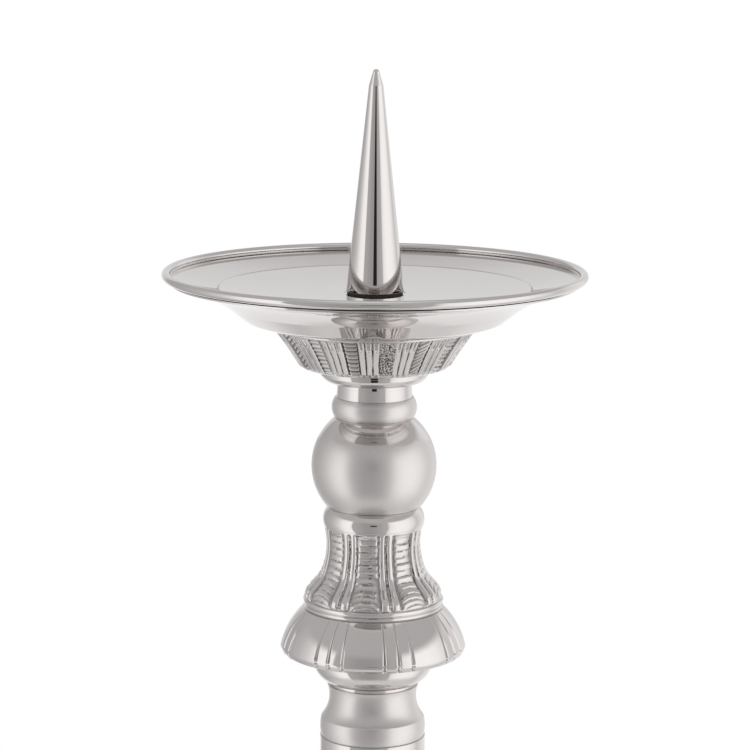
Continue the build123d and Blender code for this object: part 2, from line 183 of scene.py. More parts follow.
def silverMaterial(name, roughness, turning=0.0, chased=False, cap=None):
    material, start, shader = newMaterial(name)
    place, radius, height = turnedPlace(start)
    inputs = {"Vector": place, "Scale": silverFinish["cloudScale"], "Detail": 3.0}
    clouds = start.node("ShaderNodeTexNoise", {}, inputs)
    share = clouds.smooth(*silverFinish["cloudSpan"]) * silverFinish["softShare"]
    colour = mixColours(start, share, silverFinish["bright"], silverFinish["soft"])
    rough = roughness + (clouds - 0.5) * silverFinish["clouding"]
    shader.inputs["Metallic"].default_value = 1.0
    if turning:
        ring = start.node("ShaderNodeCombineXYZ", {}, {"X": radius, "Z": height})
        inputs = {"Vector": ring, "Scale": silverFinish["turningPitch"], "Detail": 1.0}
        lines = start.node("ShaderNodeTexNoise", {}, inputs)
        rough = rough + (lines - 0.5) * turning
    if chased:
        # the chased hollows darken with their depth, partly as oxide and partly as painted shade in the
        # grooves and along the panel edges
        sunk = start.node("ShaderNodeAttribute", {"attribute_name": "sunk"}, output="Fac")
        dark = (*silverFinish["oxideAndShade"], 1.0)
        inputs = {0: sunk * silverFinish["sunkOxideAndShade"], 6: colour, 7: dark}
        colour = start.node("ShaderNodeMix", {"data_type": "RGBA"}, inputs, 2)
        rough = rough + sunk * silverFinish["sunkRough"]
    if cap:
        rough = rough.blend(silverFinish["capRoughness"], height.smooth(*cap))
    feed(start, shader, "Base Color", colour)
    feed(start, shader, "Roughness", rough)
    return material


polishedSilver = silverMaterial("polishedSilver", silverFinish["polishedRoughness"])
satinSilver = silverMaterial("satinSilver", silverFinish["satinRoughness"], silverFinish["turning"])
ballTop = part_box("ball_knop")[1].z
ballCap = (ballTop - silverFinish["capStart"] * mm, ballTop - silverFinish["capEnd"] * mm)
ballSilver = silverMaterial("ballSilver", silverFinish["satinRoughness"], silverFinish["turning"],
                            cap=ballCap)
chasedSilver = silverMaterial("chasedSilver", silverFinish["chasedRoughness"], chased=True)

steelFinish = {"light": (0.52, 0.51, 0.50), "dark": (0.30, 0.29, 0.285), "roughness": 0.32,
               "pitch": 1800.0, "stains": 90.0, "brushing": 0.2}


def steelMaterial():
    material, start, shader = newMaterial("plainSteel")
    place, radius, height = turnedPlace(start)
    ring = start.node("ShaderNodeCombineXYZ", {}, {"X": radius, "Z": height})
    inputs = {"Vector": ring, "Scale": steelFinish["pitch"], "Detail": 2.0}
    lines = start.node("ShaderNodeTexNoise", {}, inputs)
    inputs = {"Vector": place, "Scale": steelFinish["stains"], "Detail": 4.0}
    stains = start.node("ShaderNodeTexNoise", {}, inputs)
    shader.inputs["Metallic"].default_value = 1.0
    feed(start, shader, "Base Color", mixColours(start, stains, steelFinish["light"], steelFinish["dark"]))
    feed(start, shader, "Roughness", steelFinish["roughness"] + (lines - 0.5) * steelFinish["brushing"])
    bump = start.node("ShaderNodeBump", {}, {"Strength": 0.15, "Distance": 0.0001, "Height": lines})
    feed(start, shader, "Normal", bump)
    return material


feltFinish = {"light": (0.055, 0.15, 0.075), "dark": (0.02, 0.065, 0.032), "fibre": 1500.0}


def feltMaterial():
    material, start, shader = newMaterial("greenFelt")
    place = start.node("ShaderNodeTexCoord", output="Object")
    inputs = {"Vector": place, "Scale": feltFinish["fibre"], "Detail": 4.0, "Distortion": 1.5}
    fibres = start.node("ShaderNodeTexNoise", {}, inputs)
    shader.inputs["Roughness"].default_value = 0.95
    shader.inputs["Sheen Weight"].default_value = 0.3
    feed(start, shader, "Base Color", mixColours(start, fibres, feltFinish["dark"], feltFinish["light"]))
    bump = start.node("ShaderNodeBump", {}, {"Strength": 0.6, "Distance": 0.0004, "Height": fibres})
    feed(start, shader, "Normal", bump)
    return material


# black fibre for the spike washer, black also as painted shade standing for the dark gap under the spike's
# foot
fibreAndGapShadeFinish = {"light": (0.035, 0.033, 0.03), "dark": (0.012, 0.011, 0.01), "grain": 900.0}


def fibreAndGapShadeMaterial():
    material, start, shader = newMaterial("blackFibreAndGapShade")
    place = start.node("ShaderNodeTexCoord", output="Object")
    inputs = {"Vector": place, "Scale": fibreAndGapShadeFinish["grain"], "Detail": 3.0}
    grain = start.node("ShaderNodeTexNoise", {}, inputs)
    feed(start, shader, "Base Color", mixColours(start, grain, fibreAndGapShadeFinish["dark"], fibreAndGapShadeFinish["light"]))
    feed(start, shader, "Roughness", 0.5 + grain * 0.3)
    return material


plainSteel = steelMaterial()
greenFelt = feltMaterial()
blackFibreAndGapShade = fibreAndGapShadeMaterial()
print("materials made")


# Half sections: lists of (radius, height) in millimetres, up the outside, in at the top and down the inside

edgeRounding = 0.12
sharpTurn = 20.0  # degrees


# a straight run with a point close to each end, so that its shading stays flat
def runPoints(start, end):
    length = math.dist(start, end)
    near = min(0.1, length / 4)
    count = max(1, int(length / 2.5))
    shares = [near / length] + [part / count for part in range(1, count)] + [1 - near / length, 1.0]
    across, rise = end[0] - start[0], end[1] - start[1]
    return [(start[0] + across * share, start[1] + rise * share) for share in shares]


# an arc that bows to the outside of the way it runs, or to the inside if the bow is negative
def bowPoints(start, end, bow, step=0.35):
    chord = math.dist(start, end)
    radius = (chord * chord / 4 + bow * bow) / (2 * abs(bow))
    middle = ((start[0] + end[0]) / 2, (start[1] + end[1]) / 2)
    right = ((end[1] - start[1]) / chord, -(end[0] - start[0]) / chord)
    side = 1 if bow > 0 else -1
    back = radius - abs(bow)
    centre = (middle[0] - side * right[0] * back, middle[1] - side * right[1] * back)
    first = math.atan2(start[1] - centre[1], start[0] - centre[0])
    last = math.atan2(end[1] - centre[1], end[0] - centre[0])
    if side > 0 and last < first:
        last += 2 * math.pi
    if side < 0 and last > first:
        last -= 2 * math.pi
    count = max(6, int(abs(last - first) * radius / step))
    turns = [first + (last - first) * part / count for part in range(1, count + 1)]
    return [(centre[0] + radius * math.cos(turn), centre[1] + radius * math.sin(turn)) for turn in turns]


# a quarter of an ellipse about a centre, between two angles in degrees
def quarterPoints(centre, across, up, first, last, count=16):
    turns = [math.radians(first + (last - first) * part / count) for part in range(1, count + 1)]
    return [(centre[0] + across * math.cos(turn), centre[1] + up * math.sin(turn)) for turn in turns]


# points along a line at even steps
def evenPoints(points, step):
    ways = np.concatenate([[0.0], np.cumsum(np.hypot(*np.diff(np.array(points), axis=0).T))])
    places = np.linspace(0.0, ways[-1], max(2, round(ways[-1] / step)) + 1)[1:]
    return [tuple(np.interp(place, ways, values) for values in np.array(points).T) for place in places]


# a smooth curve through points, with no bend at its ends
def curvePoints(points, step):
    knots = np.array(points)
    gaps = np.hypot(*np.diff(knots, axis=0).T)
    size = len(points)
    matrix = np.eye(size)
    right = np.zeros((size, 2))
    for knot in range(1, size - 1):
        before, after = gaps[knot - 1], gaps[knot]
        matrix[knot, knot - 1:knot + 2] = before, 2 * (before + after), after
        slopes = (knots[knot + 1] - knots[knot]) / after - (knots[knot] - knots[knot - 1]) / before
        right[knot] = 6 * slopes
    bends = np.linalg.solve(matrix, right)
    fine = [points[0]]
    for knot, gap in enumerate(gaps):
        low, high = bends[knot], bends[knot + 1]
        for way in np.linspace(0, gap, 61)[1:]:
            back = gap - way
            bent = (low * back ** 3 + high * way ** 3) / (6 * gap)
            below = (knots[knot] / gap - low * gap / 6) * back
            above = (knots[knot + 1] / gap - high * gap / 6) * way
            fine.append(tuple(bent + below + above))
    return evenPoints(fine, step)


# steps: (radius, height) is a straight run, (radius, height, bow) an arc, which may name its own step,
# and a list holds finished points
def drawSection(start, *steps):
    points = [start]
    for step in steps:
        if isinstance(step, list):
            points += step
        elif len(step) > 2:
            points += bowPoints(points[-1], step[:2], *step[2:])
        else:
            points += runPoints(points[-1], step)
    return points


def roundCorners(points, rounding=edgeRounding, closed=True):
    count = len(points)
    ring = points[:-1] if closed else points
    made = []
    for place, point in enumerate(ring):
        if not closed and place in (0, count - 1):
            made.append(point)
            continue
        before = ring[place - 1]
        after = ring[(place + 1) % len(ring)]
        lengthIn = math.dist(before, point)
        lengthOut = math.dist(point, after)
        into = ((point[0] - before[0]) / lengthIn, (point[1] - before[1]) / lengthIn)
        out = ((after[0] - point[0]) / lengthOut, (after[1] - point[1]) / lengthOut)
        turn = math.acos(max(-1, min(1, into[0] * out[0] + into[1] * out[1])))
        if turn < math.radians(sharpTurn):
            made.append(point)
            continue
        setback = min(rounding, 0.45 * lengthIn, 0.45 * lengthOut)
        for way in (0, 0.25, 0.5, 0.75, 1):
            back, ahead = setback * (1 - way) ** 2, setback * way * way
            across = point[0] - into[0] * back + out[0] * ahead
            made.append((across, point[1] - into[1] * back + out[1] * ahead))
    if closed:
        made.append(made[0])
    return made


# Geometry Nodes: every turned piece is a grid spun round the axis from its half section

def newTree(name, sizes):
    tree = bpy.data.node_groups.new(name, "GeometryNodeTree")
    tree.interface.new_socket("Section", in_out="INPUT", socket_type="NodeSocketGeometry")
    tree.interface.new_socket("Columns", in_out="INPUT", socket_type="NodeSocketInt")
    tree.interface.new_socket("Finish", in_out="INPUT", socket_type="NodeSocketMaterial")
    for label in sizes:
        tree.interface.new_socket(label, in_out="INPUT", socket_type="NodeSocketFloat")
    tree.interface.new_socket("Piece", in_out="OUTPUT", socket_type="NodeSocketGeometry")
    return Wire(tree).node("NodeGroupInput")


class Spin:
    def __init__(self, given):
        self.given = given
        section = given.also("Section")
        self.section = section
        self.columns = given.also("Columns")
        rows = given.node("GeometryNodeAttributeDomainSize", {}, {0: section}, "Point Count")
        counts = {"Vertices X": self.columns + 1, "Vertices Y": rows}
        self.grid = given.node("GeometryNodeMeshGrid", {}, counts)
        index = given.node("GeometryNodeInputIndex")
        self.row = index % rows
        # degrees from the front to the right
        self.angle = (index - self.row) / rows / self.columns * 360 - 180

    def sample(self, field, kind="FLOAT_VECTOR"):
        inputs = {"Geometry": self.section, "Value": field, "Index": self.row}
        return self.given.node("GeometryNodeSampleIndex", {"data_type": kind}, inputs)

    def attribute(self, name, kind="FLOAT"):
        field = self.given.node("GeometryNodeInputNamedAttribute", {"data_type": kind}, {"Name": name})
        return self.sample(field, kind)

    # places the grid, pushed out along the section's own outward direction by lift metres
    def place(self, lift=None):
        given = self.given
        position = self.sample(given.node("GeometryNodeInputPosition"))
        point = given.node("ShaderNodeSeparateXYZ", inputs={0: position}, output="X")
        radius, height = point, point.also("Z")
        if lift is not None:
            outward = self.attribute("outward", "FLOAT_VECTOR")
            push = given.node("ShaderNodeSeparateXYZ", inputs={0: outward}, output="X")
            radius = radius + push * lift
            height = height + push.also("Z") * lift
        turn = self.angle * (math.pi / 180)
        spot = given.node(
            "ShaderNodeCombineXYZ",
            inputs={"X": radius * turn.math("SINE"), "Y": radius * turn.math("COSINE") * -1, "Z": height},
        )
        return given.node("GeometryNodeSetPosition", {}, {"Geometry": self.grid, "Position": spot})

    def finish(self, mesh, sharp=35.0):
        given = self.given
        joined = given.node("GeometryNodeMergeByDistance", {}, {"Geometry": mesh, "Distance": 2e-7})
        smooth = given.node("GeometryNodeSetShadeSmooth", {"domain": "FACE"}, {0: joined, 2: True})
        bend = given.node("GeometryNodeInputMeshEdgeAngle")
        inputs = {0: smooth, 1: bend > math.radians(sharp), 2: False}
        creased = given.node("GeometryNodeSetShadeSmooth", {"domain": "EDGE"}, inputs)
        realized = given.node("GeometryNodeRealizeInstances", {}, {0: creased})
        painted = given.node("GeometryNodeSetMaterial", {}, {0: realized, 2: given.also("Finish")})
        end = given.tree.nodes.new("NodeGroupOutput")
        given.tree.links.new(painted.socket, end.inputs[0])
        return given.tree


def store(mesh, name, value):
    return mesh.node("GeometryNodeStoreNamedAttribute", {}, {"Geometry": mesh, "Name": name, "Value": value})


def plainTree():
    given = newTree("turnedPiece", [])
    spin = Spin(given)
    return spin.finish(spin.place())


# a section's points as a mesh with, at each point, the outward direction and the way along a chased side
def sectionMesh(name, points, level, chased):
    mesh = bpy.data.meshes.new(name)
    places = [(radius * mm, 0.0, level + height * mm) for radius, height in points]
    mesh.from_pydata(places, [(index, index + 1) for index in range(len(points) - 1)], [])
    along = mesh.attributes.new("along", "FLOAT", "POINT")
    outward = mesh.attributes.new("outward", "FLOAT_VECTOR", "POINT")
    last = len(points) - 1
    for index in range(len(points)):
        before, after = points[max(index - 1, 0)], points[min(index + 1, last)]
        size = math.dist(before, after) or 1.0
        outward.data[index].vector = ((after[1] - before[1]) / size, 0.0, -(after[0] - before[0]) / size)
        along.data[index].value = -1.0
    wanted = set(chased)
    side = [index for index, point in enumerate(points) if point in wanted]
    ways = [0.0]
    for index, after in zip(side, side[1:]):
        ways.append(ways[-1] + math.dist(points[index], points[after]))
    for index, way in zip(side, ways):
        along.data[index].value = way / ways[-1]
    return mesh


# spins a section into a finished piece that stands for its CAD node
def turnPiece(name, node, body, points, tree, finish, columns=192, sizes=None, chased=(), level=None):
    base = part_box(node)[0].z if level is None else level
    piece = bpy.data.objects.new(name, sectionMesh(name + "Section", points, base, chased))
    scene.collection.objects.link(piece)
    spinner = piece.modifiers.new("spin", "NODES")
    spinner.node_group = tree
    given = {"Columns": columns, "Finish": finish, **(sizes or {})}
    for socket in tree.interface.items_tree:
        if socket.in_out == "INPUT" and socket.name in given:
            spinner[socket.identifier] = given[socket.name]
    graph = bpy.context.evaluated_depsgraph_get()
    mesh = bpy.data.meshes.new_from_object(
        piece.evaluated_get(graph), preserve_all_data_layers=True, depsgraph=graph
    )
    mesh.name = name
    piece.modifiers.clear()
    section = piece.data
    piece.data = mesh
    bpy.data.meshes.remove(section)
    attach(piece, body)
    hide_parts(node)
    print("turned", name, len(mesh.vertices), "points")
    return piece


turned = plainTree()
rodHole = 4.2

# Foot

plinth = {"radius": 72.0, "band": 5.0, "cove": 3.5, "step": 65.5, "stepTop": 11.0, "top": 58.5,
          "height": 17.0, "inner": 60.0, "ledge": 46.0, "ledgeUnder": 13.0, "edge": 0.35}
coveTop = plinth["band"] + plinth["cove"]
plinthSection = roundCorners(drawSection(
    (plinth["inner"], 0), (plinth["radius"], 0), (plinth["radius"], plinth["band"]),
    quarterPoints((plinth["radius"], coveTop), plinth["radius"] - plinth["step"], plinth["cove"], 270,
    180),
    (plinth["step"], plinth["stepTop"]),
    quarterPoints((plinth["top"], plinth["stepTop"]), plinth["step"] - plinth["top"],
                  plinth["height"] - plinth["stepTop"], 0, 90),
    (plinth["ledge"], plinth["height"]), (plinth["ledge"], plinth["ledgeUnder"]),
    (plinth["inner"], plinth["ledgeUnder"]), (plinth["inner"], 0),
), plinth["edge"])
turnPiece("turnedPlinth", "plinth", "stand", plinthSection, turned, polishedSilver,
          320)

felt = {"radius": 71.0, "thickness": 2.0, "edge": 0.6}
feltSection = roundCorners(drawSection(
    (0, 0), (felt["radius"], 0), (felt["radius"], felt["thickness"]), (0, felt["thickness"]),
), felt["edge"], closed=False)
turnPiece("feltDisc", "felt_pad", "stand", feltSection, turned, greenFelt, 192)

footRing = {"radius": 15.0, "height": 4.0, "bow": 0.8}
footRingSection = roundCorners(drawSection(
    (rodHole, 0), (footRing["radius"], 0), (footRing["radius"], footRing["height"], footRing["bow"]),
    (rodHole, footRing["height"]), (rodHole, 0),
))
turnPiece("footCollar", "foot_collar", "stand", footRingSection, turned,
          polishedSilver)


def ballSection(ball):
    radius, lowSeat, highSeat = ball["radius"], ball["lowSeat"], ball["highSeat"]
    below = math.sqrt(radius ** 2 - lowSeat ** 2)
    above = math.sqrt(radius ** 2 - highSeat ** 2)
    first = -math.degrees(math.acos(lowSeat / radius))
    last = math.degrees(math.acos(highSeat / radius))
    arc = [(across, up + below) for across, up in quarterPoints((0, 0), radius, radius, first, last, 96)]
    return roundCorners(drawSection((rodHole, 0), (lowSeat, 0), arc, (rodHole, below + above), (rodHole, 0)))


footKnop = {"radius": 17.0, "lowSeat": 12.5, "highSeat": 12.5}
turnPiece("footKnop", "foot_knop", "stand", ballSection(footKnop), turned, satinSilver)

# Column and necks

tube = {"radius": 15.8, "bore": 14.3, "length": 86.5, "edge": 0.2}
tubeSection = roundCorners(drawSection(
    (tube["bore"], 0), (tube["radius"], 0), (tube["radius"], tube["length"]),
    (tube["bore"], tube["length"]),
    (tube["bore"], 0),
), tube["edge"])
turnPiece("columnTube", "column", "stand", tubeSection, turned, polishedSilver)

neck = {"spigot": 14.25, "spigotLength": 5.0, "bead": 15.4, "beadHeight": 5.8, "beadBow": 0.35,
        "waist": 13.05, "waistHeight": 11.6, "end": 13.6, "height": 15.8, "bore": 10.0, "web": 13.3,
        "edge": 0.5}


# height of the arc through three points above the chord of its ends
def arcHeight(start, through, end):
    sides = math.dist(start, through), math.dist(through, end), math.dist(start, end)
    across, rise = end[0] - start[0], end[1] - start[1]
    area = abs((through[0] - start[0]) * rise - (through[1] - start[1]) * across) / 2
    radius = math.prod(sides) / (4 * area)
    return radius - math.sqrt(radius ** 2 - (sides[2] / 2) ** 2)


def neckSection(upright):
    bead = (neck["bead"], neck["beadHeight"])
    end = (neck["end"], neck["height"])
    hollow = arcHeight(bead, (neck["waist"], neck["waistHeight"]), end)
    spigotEnd = -neck["spigotLength"]
    points = drawSection(
        (neck["bore"], spigotEnd), (neck["spigot"], spigotEnd), (neck["spigot"], 0), (neck["bead"], 0),
        (*bead, neck["beadBow"]), (*end, -hollow), (rodHole, neck["height"]), (rodHole, neck["web"]),
        (neck["bore"], neck["web"]), (neck["bore"], spigotEnd),
    )
    if upright:
        return roundCorners([(across, up - spigotEnd) for across, up in points], neck["edge"])
    return roundCorners([(across, neck["height"] - up) for across, up in reversed(points)], neck["edge"])


turnPiece("upperNeck", "upper_neck", "stand", neckSection(True), turned, satinSilver)
turnPiece("lowerNeck", "lower_neck", "stand", neckSection(False), turned, satinSilver)

# Bowl inside the bell

bowl = {"ring": 12.9, "ringHeight": 0.9, "radius": 17.9, "belly": 7.2, "bow": 1.3, "shoulder": 12.0,
        "top": 12.0, "height": 21.7}
bowlSection = roundCorners(drawSection(
    (rodHole, 0), (bowl["ring"], 0), (bowl["ring"], bowl["ringHeight"]),
    (bowl["radius"], bowl["belly"], bowl["bow"]), (bowl["radius"], bowl["shoulder"]),
    (bowl["top"], bowl["height"]), (rodHole, bowl["height"]), (rodHole, 0),
))
turnPiece("underBowl", "under_bowl", "stand", bowlSection, turned, polishedSilver)

# Ball, bulb, collar and the moulding under the cup

ball = {"radius": 18.55, "lowSeat": 13.9, "highSeat": 11.7}
turnPiece("ballKnop", "ball_knop", "stand", ballSection(ball), turned, ballSilver, 256)

bulb = {"end": 11.6, "height": 6.2, "bow": 1.0}
bulbSection = roundCorners(drawSection(
    (rodHole, 0), (bulb["end"], 0), (bulb["end"], bulb["height"], bulb["bow"]), (rodHole, bulb["height"]),
    (rodHole, 0),
))
turnPiece("neckBulb", "neck_bulb", "stand", bulbSection, turned, satinSilver)

band = {"foot": 11.2, "top": 11.0, "height": 3.3}
bandSection = roundCorners(drawSection(
    (rodHole, 0), (band["foot"], 0), (band["top"], band["height"]), (rodHole, band["height"]),
    (rodHole, 0),
))
turnPiece("collarBand", "collar_band", "stand", bandSection, turned, polishedSilver)

moulding = {"ring": 11.1, "ringHeight": 1.3, "step": 0.4, "ovolo": 15.9, "ovoloTop": 3.5, "bow": 0.9,
            "fillet": 4.3, "radius": 16.35, "height": 5.5, "lean": 0.16, "filletLean": 0.11}
mouldingSection = roundCorners(drawSection(
    (rodHole, 0), (moulding["ring"], 0), (moulding["ring"] - moulding["lean"], moulding["ringHeight"]),
    (moulding["ring"] + moulding["step"], moulding["ringHeight"]),
    (moulding["ovolo"], moulding["ovoloTop"], moulding["bow"]),
    (moulding["ovolo"] - moulding["filletLean"], moulding["fillet"]),
    (moulding["radius"], moulding["fillet"]), (moulding["radius"] - moulding["lean"], moulding["height"]),
    (rodHole, moulding["height"]), (rodHole, 0),
))
turnPiece("cupFoot", "cup_foot", "stand", mouldingSection, turned, polishedSilver)

# Drip pan, washer and spike

pan = {"lip": (31.3, 0.55), "base": 30.9, "corner": (38.4, 2.2), "wallTop": (43.0, 5.9),
       "rim": (60.0, 12.9), "sheet": 1.3, "brimSheet": 0.5, "baseRound": 0.42, "brimHollow": 1.1,
       "edge": 0.2}
panRim, panCorner, panWallTop = pan["rim"], pan["corner"], pan["wallTop"]
panSection = roundCorners(drawSection(
    (rodHole, 0), (pan["lip"][0], 0), pan["lip"], (pan["base"], pan["lip"][1]),
    (*panCorner, pan["baseRound"]), panWallTop, (*panRim, -pan["brimHollow"]),
    (panRim[0], panRim[1] + pan["brimSheet"]),
    (panWallTop[0] - pan["brimSheet"] / 2, panWallTop[1] + pan["brimSheet"], pan["brimHollow"]),
    (panCorner[0] - pan["sheet"] / 2, panCorner[1] + pan["sheet"]), (pan["base"], pan["sheet"]),
    (rodHole, pan["sheet"]), (rodHole, 0),
), pan["edge"])
turnPiece("panBowl", "pan_bowl", "pan", panSection, turned, polishedSilver, 320)

tray = {"recess": 9.0, "recessDepth": 0.2, "seat": 26.0, "floor": 46.0, "rise": 1.9, "floorHollow": 0.1,
        "dishHollow": 0.45, "brimHollow": 0.1, "beadRing": 61.25, "beadRadius": 1.3, "beadHeight": 5.45,
        "sheet": 1.3, "rimWidth": 1.1, "rimDrop": 0.15, "seam": 35.0, "line": 0.16, "edge": 0.1,
        "step": 0.8}
beadFoot = tray["beadHeight"] - tray["beadRadius"]
beadTop = tray["beadHeight"] + tray["beadRadius"]
beadRound = quarterPoints((tray["beadRing"], tray["beadHeight"]), tray["beadRadius"], tray["beadRadius"],
                          -110, 180 + tray["seam"], 52)
turnedLine = [(tray["floor"], tray["rise"] - tray["line"]),
              (tray["floor"] - tray["line"], tray["rise"] - tray["line"] / 4)]
traySection = roundCorners(drawSection(
    (rodHole, -tray["sheet"]), (tray["seat"], -tray["sheet"]),
    (tray["floor"], tray["rise"] - tray["sheet"], tray["floorHollow"], tray["step"]),
    (tray["beadRing"] - tray["rimWidth"], beadFoot - tray["rimDrop"], tray["brimHollow"], tray["step"]),
    beadRound, (tray["floor"] + tray["line"], tray["rise"], -tray["brimHollow"], tray["step"]),
    turnedLine, (tray["recess"], 0, -tray["dishHollow"], tray["step"]),
    (tray["recess"], -tray["recessDepth"]), (rodHole, -tray["recessDepth"]), (rodHole, -tray["sheet"]),
), tray["edge"])
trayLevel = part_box("drip_tray")[1].z - beadTop * mm
turnPiece("dripTray", "drip_tray", "pan", traySection, turned, polishedSilver, 384,
          level=trayLevel)

washer = {"radius": 8.2, "thickness": 0.8}
washerSection = roundCorners(drawSection(
    (rodHole, 0), (washer["radius"], 0), (washer["radius"], washer["thickness"]),
    (rodHole, washer["thickness"]), (rodHole, 0),
))
# the washer's black stands partly for the fibre and partly for painted shade in the gap under the spike
turnPiece("fibreWasher", "spike_washer", "washer", washerSection, turned, blackFibreAndGapShade, 128)

spike = {"radius": 8.5, "height": 64.9, "tip": 2.1, "tipHeight": 60.2, "point": 1.0, "bore": 4.05,
         "depth": 14.0, "edge": 0.2}
pointFoot = spike["height"] - spike["point"]
spikeSide = roundCorners(drawSection(
    (spike["bore"], 0), (spike["radius"], 0), (spike["tip"], spike["tipHeight"]),
    (spike["point"], pointFoot),
    quarterPoints((0, pointFoot), spike["point"], spike["point"], 0, 90, 10),
), spike["edge"], closed=False)
boreTop = (0, spike["depth"])
boreCorner = (spike["bore"], spike["depth"])
spikeBore = [boreTop, *runPoints(boreTop, boreCorner), *runPoints(boreCorner, spikeSide[0])]
spikeSection = spikeBore + spikeSide[1:]
turnPiece("pricketSpike", "pricket_spike", "spike", spikeSection, turned,
          polishedSilver, 192)

# Chased pieces: a tree lifts the side of a turned piece by a rule of the angle and the way along it

# 1 in the middle of each step of a rising value, 0 where two steps meet
def swells(value, sharp=2.4, blunt=0.6):
    return (1 - abs(value % 1.0 * 2 - 1) ** sharp).math("MAXIMUM", 0.0) ** blunt


# a fixed random number for each cell of two counts
def chance(first, second):
    cell = first.node("ShaderNodeCombineXYZ", {}, {"X": first + 0.5, "Y": second + 0.5})
    return cell.node("ShaderNodeTexWhiteNoise", {"noise_dimensions": "2D"}, {"Vector": cell}, "Value")


# pits of a matting punch: 0 in a pit, 1 between pits
def punched(across, up):
    spot = across.node("ShaderNodeCombineXYZ", {}, {"X": across, "Y": up})
    cells = spot.node("ShaderNodeTexVoronoi", {"voronoi_dimensions": "2D"}, {"Vector": spot, "Scale": 1.0})
    return cells.smooth(0.12, 0.5)


# a slow hand-made wander along a line, -0.5 to 0.5
def wander(along, number):
    spot = along.node("ShaderNodeCombineXYZ", {}, {"X": along, "Y": number})
    return along.node("ShaderNodeTexNoise", {"noise_dimensions": "2D"}, {"Vector": spot, "Scale": 1.0}) - 0.5


# lift and sunk depth in millimetres, on the chased side alone; sunk also darkens the colour, partly as oxide
# and partly as painted shade
def chase(spin, along, lift, depth, steep=2.4):
    side = along > -0.5
    mesh = spin.place(lift * side * mm)
    hollow = (lift * -1 / depth).math("MAXIMUM", 0.0).math("MINIMUM", 1.0)
    return spin.finish(store(mesh, "sunk", hollow ** steep * side), 65.0)


gougeSizes = ("Folds", "Middle", "Pitch", "Foot half", "Top half", "Foot depth", "Top depth", "Foot fade")


# groups of three tapering gouges
def gougeTree():
    given = newTree("gougedSide", gougeSizes)
    spin = Spin(given)
    along = spin.attribute("along")
    fold = 360 / given.also("Folds")
    pitch = given.also("Pitch")
    across = (spin.angle - given.also("Middle") + fold / 2) % fold - fold / 2
    line = (across / pitch).math("ROUND").math("MAXIMUM", -1.0).math("MINIMUM", 1.0)
    half = given.also("Foot half").blend(given.also("Top half"), along)
    shape = (1 - abs(across - line * pitch) / half).math("MAXIMUM", 0.0).smooth(0.0, 1.0)
    depth = given.also("Foot depth").blend(given.also("Top depth"), along)
    fade = given.also("Foot fade")
    lift = shape * depth * along.smooth(fade, fade + 0.05) * -1
    return chase(spin, along, lift, given.also("Foot depth") * 1.6)


cupSizes = ("Groups", "Middle", "Panel angle", "Reeds", "Reed depth", "Panel depth", "Rungs",
            "Rung height", "Slit", "Heel")
cupHand = {"wander": 0.24, "pace": 3.0, "slitWide": (0.05, 0.15), "slitFrom": (0.72, 0.82), "kinds": 4.0,
           "slant": 0.8, "least": 0.7, "uneven": 0.4, "dots": (0.9, 28.0), "dotHeight": 0.8,
           "heelFade": (0.45, 0.8), "topFade": (0.95, 0.98), "steep": 1.3}


# groups of reeds between panels of rungs or punch marks
def cupTree():
    given = newTree("reededSide", cupSizes)
    spin = Spin(given)
    along = spin.attribute("along")
    pitch = 360 / given.also("Groups")
    panelAngle = given.also("Panel angle")
    turn = spin.angle - given.also("Middle")
    group = (turn / pitch).math("ROUND")
    across = turn - group * pitch
    reedsWide = pitch - panelAngle
    reed = (across + reedsWide / 2) / (reedsWide / given.also("Reeds"))
    whole = reed.math("FLOOR")
    reed = reed + wander(along * cupHand["pace"], group * 3 + whole) * cupHand["wander"]
    slit = abs(reed % 1.0 - 0.5).smooth(*cupHand["slitWide"], 1.0, 0.0) * along.smooth(*cupHand["slitFrom"])
    reedLift = given.also("Reed depth") * (swells(reed, 5.0, 0.8) - 1) - slit * given.also("Slit")
    panel = (turn / pitch).math("FLOOR")
    kind = panel % cupHand["kinds"]
    dotted = abs(kind) < 0.5
    slanted = abs(kind - 1) < 0.5
    way = (turn % pitch - pitch / 2) / panelAngle * 2
    step = along * given.also("Rungs") - slanted * way * cupHand["slant"]
    uneven = chance(panel, step.math("FLOOR"))
    size = cupHand["least"] + uneven * cupHand["uneven"]
    rung = swells(step, 3.0, 0.8) * (1 - abs(way) ** 6) * size
    dots = punched(turn * cupHand["dots"][0], along * cupHand["dots"][1])
    rungLift = rung.blend(dots * cupHand["dotHeight"], dotted) * given.also("Rung height")
    panelLift = rungLift - given.also("Panel depth")
    lift = reedLift.blend(panelLift, abs(across) > reedsWide / 2)
    heel = given.also("Heel")
    fadeFrom, fadeTo = cupHand["heelFade"]
    lift = lift * along.smooth(heel * fadeFrom, heel * fadeTo) * along.smooth(*cupHand["topFade"], 1.0, 0.0)
    return chase(spin, along, lift, given.also("Panel depth"), cupHand["steep"])


vaseSizes = ("Folds", "Middle", "Pair half", "Pair groove", "Edge groove", "Rungs", "Rung height",
             "Depth", "Arch")
vaseHand = {"wander": 0.9, "pace": 4.0, "dots": (0.7, 46.0), "dotHeight": 0.3, "teeth": 38.0,
            "toothHeight": 0.35, "edgeDepth": 1.15, "archTo": 0.55, "rungPace": 1.5, "rungWander": 0.3,
            "tilt": 0.5, "crown": 0.3, "nod": 0.7, "least": 0.8, "uneven": 0.2, "below": 0.1,
            "lineDepth": 0.6}


